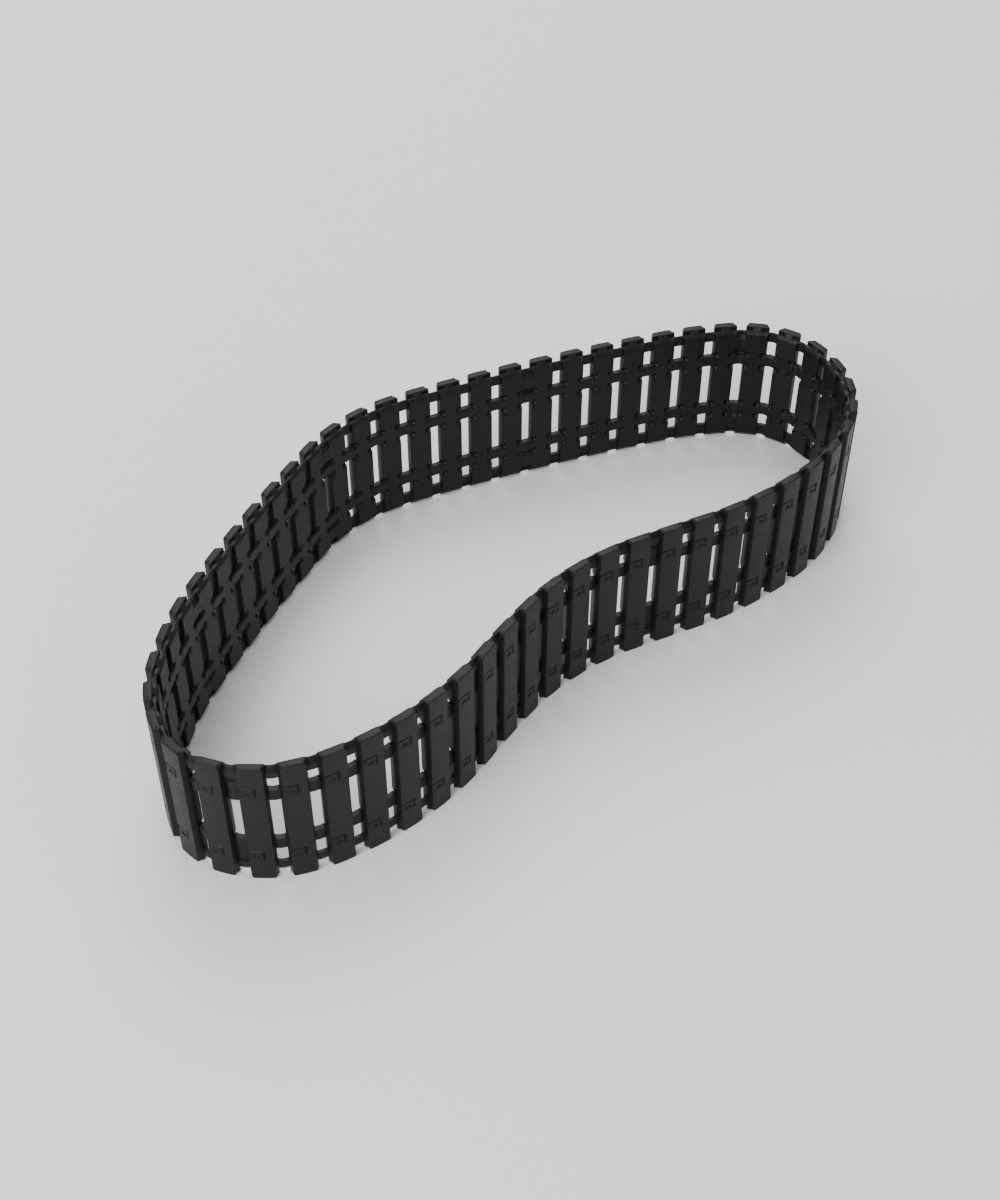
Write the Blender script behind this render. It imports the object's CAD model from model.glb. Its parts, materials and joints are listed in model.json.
"""Looks of the moulded rubber track: 56 tread bars, and webs that bend between them."""

import json
import math

import bmesh
import bpy
import numpy as np
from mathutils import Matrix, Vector


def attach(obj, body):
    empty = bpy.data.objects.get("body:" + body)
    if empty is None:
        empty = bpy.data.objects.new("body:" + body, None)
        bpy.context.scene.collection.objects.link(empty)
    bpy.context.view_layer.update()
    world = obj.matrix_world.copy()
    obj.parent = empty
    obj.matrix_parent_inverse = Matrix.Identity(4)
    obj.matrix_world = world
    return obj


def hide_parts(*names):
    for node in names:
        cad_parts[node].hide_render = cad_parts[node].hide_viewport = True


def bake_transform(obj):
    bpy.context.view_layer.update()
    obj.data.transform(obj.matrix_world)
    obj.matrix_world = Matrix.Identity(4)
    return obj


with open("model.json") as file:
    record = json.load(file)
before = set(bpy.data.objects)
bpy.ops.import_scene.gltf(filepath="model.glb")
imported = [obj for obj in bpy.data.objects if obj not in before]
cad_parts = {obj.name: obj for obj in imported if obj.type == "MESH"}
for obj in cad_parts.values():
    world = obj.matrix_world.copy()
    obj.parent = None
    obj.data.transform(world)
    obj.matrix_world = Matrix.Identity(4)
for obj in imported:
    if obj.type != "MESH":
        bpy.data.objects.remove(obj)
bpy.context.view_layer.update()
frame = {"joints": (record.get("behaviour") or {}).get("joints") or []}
MM = 0.001

# ---- the link, in millimetres: x along the loop, y inwards, z up ----
PITCH = 8.0
TRACK_W = 34.0
FACE_OUT = 1.9
BAR_T = 3.1
LIP_T = 1.8
NECK_W = 1.9
FACE_W = 5.0
ROOT_W = 5.8
BACK_W = 5.3
END_CUT = 0.6
TIP_OUT = 1.0
SLOPE_H = 1.6
EDGE_H = 2.9
SMALL_WINDOW_H = 4.1
INNER_H = 2.8
EDGE_T = 1.0
INNER_T = 1.6
EDGE_BELOW = 0.8
INNER_IN = 0.1
EDGE_THIN = 1.3
BEAD_R = 0.4
CROWN = 0.1
FILLED_EVERY = 7
HALF_GAP = (PITCH - ROOT_W) / 2
MARK_HEIGHTS = (0.832 * TRACK_W, 0.257 * TRACK_W)
MARK_H = 2.8
MARK_DEEP = 0.35
MARK_SOFT = 0.1
MARK_CORNER = 0.12 * FACE_W
LINE_HALF_WIDTH = 0.2
RAMP_DEEP = 0.2
HOOK_LEFT = 0.75
HOOK_BELOW = 2.1
HOOK_R = 0.4
HOOK_HALF_WIDTH = 0.22
DIMPLE_FROM_SIDE = 0.6
DIMPLE_HALF_WIDTH = 0.85
DIMPLE_HALF_HEIGHT = 0.8
DIMPLE_DEEP = 0.75
FACE_CORNER_R = 0.22
FLANK_R = 0.4
BACK_CORNER_R = 0.2
END_SOFT = 0.2
STRIP_SINK = 0.15
OPEN_HALF_GAP = 0.01
INNER_FROM = TIP_OUT + EDGE_H + SMALL_WINDOW_H
BACK = BAR_T - FACE_OUT
LIP = LIP_T - FACE_OUT
FLANK = LIP - 0.5
EDGE_INNER = BACK - EDGE_BELOW
BACK_GAP = (PITCH - BACK_W) / 2
BACK_LEAN = (ROOT_W - BACK_W) / 2 / (BACK - LIP)
ROOTED = HALF_GAP + 0.5


# ---- where the links are: the joints give the bend points ----
def bend_points():
    """Bend point k lies between link k and link k + 1; the last one is also the first."""
    found = {j["name"]: Vector(j["pos_m"][:2]) / MM for j in frame["joints"]}
    points = [found[name] for name in sorted(found)]
    first, last = points[0], points[-1]
    middle = (first + last) / 2
    across = Vector((first.y - last.y, last.x - first.x)).normalized()
    reach = math.sqrt(PITCH**2 - ((last - first).length / 2) ** 2)
    centre = sum(points, Vector((0, 0))) / len(points)
    if (middle + across * reach - centre).length < (middle - across * reach - centre).length:
        across = -across
    closing = middle + across * reach
    return [closing, *points, closing]


POINTS = bend_points()
N_LINKS = len(POINTS) - 1
HEADINGS = [math.atan2((b - a).y, (b - a).x) for a, b in zip(POINTS, POINTS[1:])]


def bend_after(link):
    """How far the web after this link (1 to N_LINKS) bends at rest."""
    turn = HEADINGS[link % N_LINKS] - HEADINGS[link - 1]
    return (turn + math.pi) % (2 * math.pi) - math.pi


# ---- mesh helpers ----
def smooth(t):
    t = np.clip(t, 0, 1)
    return t * t * (3 - 2 * t)


def rounded(corners, radii, steps=4):
    """A closed outline with each corner turned on its own radius."""
    out = []
    n = len(corners)
    for i in range(n):
        p = Vector(corners[i])
        a = (Vector(corners[i - 1]) - p).normalized()
        b = (Vector(corners[(i + 1) % n]) - p).normalized()
        half = a.angle(b) / 2
        back = radii[i] / math.tan(half)
        centre = p + (a + b).normalized() * (radii[i] / math.sin(half))
        start, end = p + a * back - centre, p + b * back - centre
        angle = math.atan2(start.x * end.y - start.y * end.x, start.dot(end))
        for s in range(steps + 1):
            t = angle * s / steps
            c, sn = math.cos(t), math.sin(t)
            turned = (start.x * c - start.y * sn, start.x * sn + start.y * c)
            out.append((centre.x + turned[0], centre.y + turned[1]))
    return out


def dense(outline, step):
    """The same outline with its long sides cut to at most this step."""
    out = []
    for (x0, y0), (x1, y1) in zip(outline, outline[1:] + outline[:1]):
        n = max(1, math.ceil(math.hypot(x1 - x0, y1 - y0) / step))
        out += [(x0 + (x1 - x0) * k / n, y0 + (y1 - y0) * k / n) for k in range(n)]
    return out


def rings_mesh(name, rings):
    """Closed skin through rings of points, all with the same count."""
    mesh = bpy.data.meshes.new(name)
    n = len(rings[0])
    verts = [p for ring in rings for p in ring]
    faces = [
        (r * n + i, r * n + (i + 1) % n, (r + 1) * n + (i + 1) % n, (r + 1) * n + i)
        for r in range(len(rings) - 1)
        for i in range(n)
    ]
    for r, flip in ((0, True), (len(rings) - 1, False)):
        ring = rings[r]
        verts.append(tuple(sum(p[c] for p in ring) / n for c in range(3)))
        top = len(verts) - 1
        for i in range(n):
            a, b = r * n + i, r * n + (i + 1) % n
            faces.append((b, a, top) if flip else (a, b, top))
    mesh.from_pydata(verts, [], faces)
    bm = bmesh.new()
    bm.from_mesh(mesh)
    bmesh.ops.recalc_face_normals(bm, faces=bm.faces)
    bm.to_mesh(mesh)
    bm.free()
    mesh.shade_smooth()
    return mesh


# ---- the tread bar ----
def band(distance, half_width):
    """1 inside a band this wide, 0 outside, with soft sides."""
    return 1 - smooth((abs(distance) - half_width + MARK_SOFT) / (2 * MARK_SOFT))


def mark_depth(x, z, top):
    """The shallow ramp in the tread face, the groove round its top and side, and the hook in it."""
    below = top - z
    inside = smooth((below + MARK_SOFT) / (2 * MARK_SOFT))
    inside *= smooth((MARK_CORNER + MARK_SOFT - x) / (2 * MARK_SOFT))
    ramp = inside * max(0.0, 1 - max(below, 0.0) / MARK_H) * RAMP_DEEP
    level = band(below - LINE_HALF_WIDTH, LINE_HALF_WIDTH)
    level *= smooth((MARK_CORNER + 0.3 - x) / 0.2)
    drop = band(x - MARK_CORNER, LINE_HALF_WIDTH)
    drop *= smooth((below + 0.1) / 0.2) * smooth((MARK_H - below) / 0.6)
    cx, cz = x + HOOK_LEFT, below - HOOK_BELOW
    hook = band(math.hypot(cx, cz) - HOOK_R, HOOK_HALF_WIDTH) * smooth((0.25 - cz) / 0.3)
    return ramp + MARK_DEEP * max(level, drop, hook)


def dimple_depth(x, z):
    """Scoops in the back of the bar at both edges of each inner strip."""
    depth = 0.0
    for level in DIMPLE_LEVELS:
        across = (abs(x) - (ROOT_W / 2 - DIMPLE_FROM_SIDE)) / DIMPLE_HALF_WIDTH
        along = (z - level) / DIMPLE_HALF_HEIGHT
        depth = max(depth, DIMPLE_DEEP * math.exp(-1.3 * (across**2 + along**2) ** 1.7))
    return depth


def hump(x, z):
    """How far the back of the bar rises beside the webs to meet the inner strips."""
    middle = abs(z - TRACK_W / 2)
    inner = INNER_H / 2 + 0.1 - abs(middle - (TRACK_W / 2 - INNER_FROM - INNER_H / 2))
    return INNER_IN * smooth(inner / 0.6) * smooth((abs(x) - BACK_W / 2 + 1.2) / 1.1)


def back_level(x, end):
    """Where the back of the bar is, this far from its end: lip, pockets, neck, then full depth."""
    slope = min(1.0, max(0.0, (end - 0.1) / (SLOPE_H - 0.1)))
    above_pockets = smooth((end - TIP_OUT + 0.08) / 0.12)
    neck = 1 - smooth((abs(x) - NECK_W / 2) / 0.25)
    return LIP + (BACK - LIP) * slope * max(above_pockets, neck)


DIMPLE_LEVELS = [
    z for low in (INNER_FROM - 0.4, INNER_FROM + INNER_H + 0.4) for z in (low, TRACK_W - low)
]


def bar_heights():
    """Heights of the rings: close together at the ends and across the marks."""
    levels = [0, 0.03, 0.08, 0.16, 0.26, 0.4, 0.55, 0.7, 0.85, 0.92, 0.96, 1.0, 1.04, 1.12]
    levels += [1.25, 1.4, 1.5, 1.56, 1.6, 1.66, 1.75, 2]
    levels += [TRACK_W - z for z in levels]
    for top in MARK_HEIGHTS:
        levels += list(np.arange(top - 3.6, top + 0.5, 0.12))
    for low in (INNER_FROM, TRACK_W - INNER_FROM - INNER_H):
        levels += list(np.arange(low - 1.4, low + INNER_H + 1.5, 0.16))
    levels += list(np.arange(3, TRACK_W - 2, 1.6))
    levels = sorted(levels)
    return [z for i, z in enumerate(levels) if i == 0 or z - levels[i - 1] > 0.02]


def bar_mesh():
    corners = [
        (-ROOT_W / 2, BACK), (-ROOT_W / 2, FLANK), (-FACE_W / 2, -FACE_OUT),
        (FACE_W / 2, -FACE_OUT), (ROOT_W / 2, FLANK), (ROOT_W / 2, BACK),
    ]
    radii = (BACK_CORNER_R, FLANK_R, FACE_CORNER_R, FACE_CORNER_R, FLANK_R, BACK_CORNER_R)
    outline = dense(rounded(corners, radii), 0.13)
    lean = (ROOT_W - FACE_W) / 2 / (FACE_OUT + FLANK)
    rings = []
    for z in bar_heights():
        end = min(z, TRACK_W - z)
        inset = END_SOFT * (1 - math.sqrt(max(0, 1 - (1 - min(end / END_SOFT, 1)) ** 2)))
        ring = []
        for x, y in outline:
            ny = y
            if y > FLANK:
                ny = FLANK + (y - FLANK) * (back_level(x, end) - FLANK) / (BACK - FLANK)
            lean_in = BACK_LEAN * max(0.0, ny - LIP) / (ROOT_W / 2)
            share = smooth((y - BACK + 1.2) / 1.15)
            ny += share * (hump(x, z) - dimple_depth(x, z))
            out = (LIP - ny) / LIP_T
            cut = max(0.0, (END_CUT - end) / END_CUT) * 0.4 * smooth(out * 1.3)
            limit = ROOT_W / 2 - lean * max(0.0, FLANK - y) - cut
            nx = math.copysign(min(abs(x) * (1 - lean_in), limit), x)
            nx -= math.copysign(inset * min(1, abs(nx) / 1.2), nx)
            ny += inset * max(-1, min(1, (out - 0.5) * 3))
            if y < -FACE_OUT + 0.02:
                ny += CROWN * (2 * x / FACE_W) ** 2
                for top in MARK_HEIGHTS:
                    ny += mark_depth(x, z, top)
            ring.append((nx * MM, ny * MM, z * MM))
        rings.append(ring)
    return rings_mesh("tread_bar", rings)


# ---- the webs ----
def fold(link, x, y):
    """A point near the bend after this link, from the straight band into its rest bend."""
    k = link
    share = float(smooth((x + HALF_GAP) / (2 * HALF_GAP)))
    angle = HEADINGS[k - 1] + share * bend_after(k)
    c, s = math.cos(angle), math.sin(angle)
    return POINTS[k].x + x * c - y * s, POINTS[k].y + x * s + y * c


def gap_at(y):
    """Half the gap between two bars, wider towards their backs."""
    return HALF_GAP + (BACK_GAP - HALF_GAP) * min(1.0, max(0.0, (y - LIP) / (BACK - LIP)))


def flare(x, y, r=0.2):
    """How much a strip widens where it runs into a bar."""
    gap = gap_at(y)
    if abs(x) > gap + 0.15:
        return 0.0
    t = min(1.0, max(0.0, (abs(x) - (gap - r)) / r))
    return r * (1 - math.sqrt(1 - t * t))


def stations(lo, hi, step=0.14):
    n = max(2, math.ceil((hi - lo) / step))
    return [lo + (hi - lo) * i / n for i in range(n + 1)]


def strip_rings(link, lo, hi, outline, widen, flip):
    """A strip along the web with this outline (y, z), its ends buried in the bars."""
    middle_y = (min(y for y, z in outline) + max(y for y, z in outline)) / 2
    middle_z = (min(z for y, z in outline) + max(z for y, z in outline)) / 2
    rings = []
    for x in stations(lo, hi):
        sink = STRIP_SINK * float(smooth((abs(x) - BACK_GAP + 0.05) / 0.25))
        ring = []
        for y, z in outline:
            lower = z < middle_z
            z += widen[0 if lower else 1] * flare(x, y) * (-1 if lower else 1)
            if y > middle_y:
                y -= sink
            elif abs(x) > HALF_GAP + 0.2:
                y -= 0.25
            wx, wy = fold(link, x, y)
            ring.append((wx * MM, wy * MM, (TRACK_W - z if flip else z) * MM))
        rings.append(ring)
    return rings


def bead_rings(link, lo, hi, flip):
    """The raised bead along the inside of an edge strip, at its outer edge."""
    rings = []
    for x in stations(lo, hi):
        ring = []
        for i in range(16):
            t = 2 * math.pi * i / 16
            y = EDGE_INNER - 0.1 + BEAD_R * math.cos(t)
            z = TIP_OUT + BEAD_R + BEAD_R * math.sin(t)
            wx, wy = fold(link, x, y)
            ring.append((wx * MM, wy * MM, (TRACK_W - z if flip else z) * MM))
        rings.append(ring)
    return rings


EDGE_OUTER = EDGE_INNER - EDGE_T
EDGE_OUTLINE = dense(rounded(
    [
        (EDGE_OUTER, TIP_OUT + EDGE_THIN), (EDGE_OUTER, TIP_OUT + EDGE_H),
        (EDGE_INNER, TIP_OUT + EDGE_H), (EDGE_INNER, TIP_OUT + 0.1),
        (EDGE_INNER - 0.3, TIP_OUT + 0.15),
    ],
    (0.35, 0.12, 0.15, 0.05, 0.08),
), 0.35)
INNER_OUTER = BACK + INNER_IN - INNER_T
INNER_OUTLINE = dense(rounded(
    [
        (INNER_OUTER, INNER_FROM), (INNER_OUTER, INNER_FROM + INNER_H),
        (BACK + INNER_IN, INNER_FROM + INNER_H), (BACK + INNER_IN, INNER_FROM),
    ],
    (0.12, 0.12, 0.35, 0.35),
), 0.35)
PLATE_OUTLINE = dense(rounded(
    [
        (INNER_OUTER, TIP_OUT + EDGE_H - 0.3), (INNER_OUTER, INNER_FROM + 0.4),
        (BACK - 0.3, INNER_FROM + 0.4), (BACK - 0.75, INNER_FROM - 0.3),
        (BACK - 0.75, INNER_FROM - 0.9), (BACK, INNER_FROM - 1.6),
        (BACK, TIP_OUT + 2.3), (EDGE_INNER, TIP_OUT + 1.2),
    ],
    (0.02, 0.02, 0.02, 0.15, 0.2, 0.3, 0.3, 0.02),
), 0.35)
STUD_LEVEL = TIP_OUT + EDGE_H + 1.2
STUD_OUTLINE = rounded(
    [
        (INNER_OUTER - 0.25, STUD_LEVEL - 0.18), (INNER_OUTER - 0.25, STUD_LEVEL + 0.18),
        (INNER_OUTER + 0.2, STUD_LEVEL + 0.18), (INNER_OUTER + 0.2, STUD_LEVEL - 0.18),
    ],
    (0.12, 0.12, 0.02, 0.02),
)


def web_object(name, link, lo, hi):
    """The web after this link, from x = lo to x = hi along the straight band."""
    parts = []
    for flip in (False, True):
        parts.append(strip_rings(link, lo, hi, EDGE_OUTLINE, (0.2, 1), flip))
        parts.append(bead_rings(link, lo, hi, flip))
        parts.append(strip_rings(link, lo, hi, INNER_OUTLINE, (1, 1), flip))
        if link % FILLED_EVERY == 0:
            parts.append(strip_rings(link, lo, hi, PLATE_OUTLINE, (0, 0), flip))
            if flip and lo < -0.5 and hi > 0.5:
                parts.append(strip_rings(link, -0.45, 0.45, STUD_OUTLINE, (0, 0), flip))
    bm = bmesh.new()
    for rings in parts:
        mesh = rings_mesh("part", rings)
        bm.from_mesh(mesh)
        bpy.data.meshes.remove(mesh)
    mesh = bpy.data.meshes.new(name)
    bm.to_mesh(mesh)
    bm.free()
    mesh.shade_smooth()
    return add(name, mesh)


def add(name, mesh):
    obj = bpy.data.objects.new(name, mesh)
    bpy.context.scene.collection.objects.link(obj)
    return obj


# ---- materials ----
def rubber():
    mat = bpy.data.materials.new("rubber")
    mat.use_nodes = True
    nodes, links = mat.node_tree.nodes, mat.node_tree.links
    shader = nodes["Principled BSDF"]

    def node(kind, **values):
        n = nodes.new(kind)
        for key, value in values.items():
            if hasattr(n, key):
                setattr(n, key, value)
            else:
                n.inputs[key].default_value = value
        return n

    place = node("ShaderNodeTexCoord").outputs["Object"]

    def noise(scale, detail, rough=0.5):
        n = node("ShaderNodeTexNoise", Scale=scale, Detail=detail, Roughness=rough)
        links.new(place, n.inputs["Vector"])
        return n.outputs["Fac"]

    def ramp(value, low, high, to_low, to_high):
        n = node("ShaderNodeMapRange")
        n.inputs["From Min"].default_value = low
        n.inputs["From Max"].default_value = high
        n.inputs["To Min"].default_value = to_low
        n.inputs["To Max"].default_value = to_high
        links.new(value, n.inputs["Value"])
        return n.outputs["Result"]

    # bloom: the faint grey film that rubber carries, in soft patches
    patches = noise(160, 5, 0.6)
    fine = noise(1400, 3)
    mix = node("ShaderNodeMix", data_type="RGBA")
    mix.inputs["A"].default_value = (0.005, 0.005, 0.0052, 1)
    mix.inputs["B"].default_value = (0.009, 0.009, 0.0093, 1)
    links.new(ramp(patches, 0.35, 0.7, 0, 1), mix.inputs["Factor"])

    # rubbed edges are a little greyer
    worn = node("ShaderNodeMix", data_type="RGBA")
    geometry = node("ShaderNodeNewGeometry")
    links.new(ramp(geometry.outputs["Pointiness"], 0.53, 0.62, 0, 0.6), worn.inputs["Factor"])
    links.new(mix.outputs["Result"], worn.inputs["A"])
    worn.inputs["B"].default_value = (0.024, 0.024, 0.0248, 1)
    links.new(worn.outputs["Result"], shader.inputs["Base Color"])

    rough = node("ShaderNodeMath", operation="ADD")
    links.new(ramp(patches, 0.3, 0.7, 0.40, 0.52), rough.inputs[0])
    links.new(ramp(fine, 0.3, 0.7, -0.04, 0.05), rough.inputs[1])
    links.new(rough.outputs["Value"], shader.inputs["Roughness"])

    grain = node("ShaderNodeBump", Strength=0.25, Distance=0.00006)
    links.new(fine, grain.inputs["Height"])
    waves = node("ShaderNodeBump", Strength=0.35, Distance=0.0004)
    links.new(noise(220, 2), waves.inputs["Height"])
    links.new(waves.outputs["Normal"], grain.inputs["Normal"])
    links.new(grain.outputs["Normal"], shader.inputs["Normal"])
    shader.inputs["Specular IOR Level"].default_value = 0.2
    return mat


# ---- build the track ----
def build_track():
    mat = rubber()
    bar = bar_mesh()
    bar.materials.append(mat)
    for link in range(1, N_LINKS + 1):
        body = f"tread_link_{link:02d}"
        obj = add(f"tread_bar_{link:02d}", bar)
        middle = (POINTS[link - 1] + POINTS[link]) / 2 * MM
        obj.location = (middle.x, middle.y, 0)
        obj.rotation_euler = (0, 0, HEADINGS[link - 1])
        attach(obj, body)
        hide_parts(body)
    end = ROOTED
    for link in range(1, N_LINKS):
        web = web_object(f"web_{link:02d}", link, -end, end)
        web.data.materials.append(mat)
        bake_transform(web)
    halves = (
        ("web_end_a", N_LINKS, -end, -OPEN_HALF_GAP),
        ("web_end_b", 1, OPEN_HALF_GAP, end),
    )
    for name, body, lo, hi in halves:
        web = web_object(name, N_LINKS, lo, hi)
        web.data.materials.append(mat)
        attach(web, f"tread_link_{body:02d}")


# ---- stage, light and camera ----
def build_stage():
    """A plain pale floor under a plain white sky."""
    mat = bpy.data.materials.new("floor")
    mat.use_nodes = True
    shader = mat.node_tree.nodes["Principled BSDF"]
    shader.inputs["Base Color"].default_value = (0.8, 0.8, 0.8, 1)
    shader.inputs["Roughness"].default_value = 0.9
    shader.inputs["Specular IOR Level"].default_value = 0.1
    mesh = bpy.data.meshes.new("floor")
    s = 4.0
    mesh.from_pydata([(-s, -s, 0), (s, -s, 0), (s, s, 0), (-s, s, 0)], [], [(0, 1, 2, 3)])
    mesh.materials.append(mat)
    floor = add("floor", mesh)

    world = bpy.data.worlds.new("studio")
    world.use_nodes = True
    world.node_tree.nodes["Background"].inputs["Color"].default_value = (1, 1, 1, 1)
    world.node_tree.nodes["Background"].inputs["Strength"].default_value = 0.75
    bpy.context.scene.world = world


def area_light(name, place, size, power):
    data = bpy.data.lights.new(name, "AREA")
    data.size = size
    data.energy = power
    lamp = bpy.data.objects.new(name, data)
    lamp.location = place
    lamp.rotation_mode = "QUATERNION"
    lamp.rotation_quaternion = (-Vector(place)).to_track_quat("-Z", "Y")
    bpy.context.scene.collection.objects.link(lamp)


def build_camera():
    """From the front and to the left, 45 degrees down."""
    azimuth, elevation, distance = math.radians(-40.6), math.radians(44.6), 0.4167
    aim = Vector((0.0011, -0.002, 0))
    ahead = Vector((
        -math.sin(azimuth) * math.cos(elevation),
        math.cos(azimuth) * math.cos(elevation),
        -math.sin(elevation),
    ))
    data = bpy.data.cameras.new("camera")
    data.lens = 53.0
    data.clip_start, data.clip_end = 0.01, 20
    camera = bpy.data.objects.new("camera", data)
    camera.location = aim - ahead * distance
    camera.rotation_mode = "QUATERNION"
    camera.rotation_quaternion = ahead.to_track_quat("-Z", "Y")
    bpy.context.scene.collection.objects.link(camera)
    bpy.context.scene.camera = camera


build_track()
build_stage()
area_light("key", (0.35, 0.5, 0.8), 0.6, 7)
area_light("fill", (-0.7, -0.2, 0.6), 0.6, 8)
build_camera()
